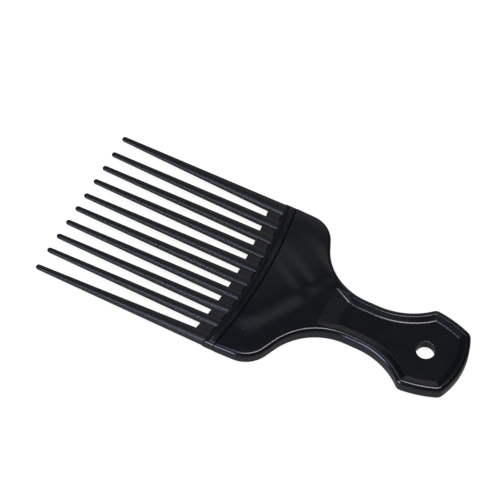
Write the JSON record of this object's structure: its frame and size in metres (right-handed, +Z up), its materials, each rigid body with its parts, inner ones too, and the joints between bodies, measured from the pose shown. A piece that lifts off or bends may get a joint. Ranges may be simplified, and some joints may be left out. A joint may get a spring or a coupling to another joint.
{
  "type": "afro pick",
  "caption": "Hair pick with long tapered teeth, thin webs and a curved ridge at their roots, a shoulder plate and a waisted, recessed grip with a hanging hole",
  "frame": {"origin": "middle of the part's box in X and Y, at the height of its flat underside as it lies on a table", "axes": "+X from the tooth tips to the end of the grip, +Y across the teeth, +Z up through the thickness"},
  "size_m": [0.17, 0.0724, 0.0066],
  "materials": {
    "black_plastic": "satin black moulded plastic"
  },
  "bodies": {
    "root": {"tooth_01": "black_plastic", "tooth_02": "black_plastic", "tooth_03": "black_plastic", "tooth_04": "black_plastic", "tooth_05": "black_plastic", "tooth_06": "black_plastic", "tooth_07": "black_plastic", "tooth_08": "black_plastic", "tooth_09": "black_plastic", "tooth_10": "black_plastic", "web_01": "black_plastic", "web_02": "black_plastic", "web_03": "black_plastic", "web_04": "black_plastic", "web_05": "black_plastic", "web_06": "black_plastic", "web_07": "black_plastic", "web_08": "black_plastic", "web_09": "black_plastic", "ridge_bar": "black_plastic", "shoulder_plate": "black_plastic", "grip": "black_plastic"}
  },
  "joints": []
}
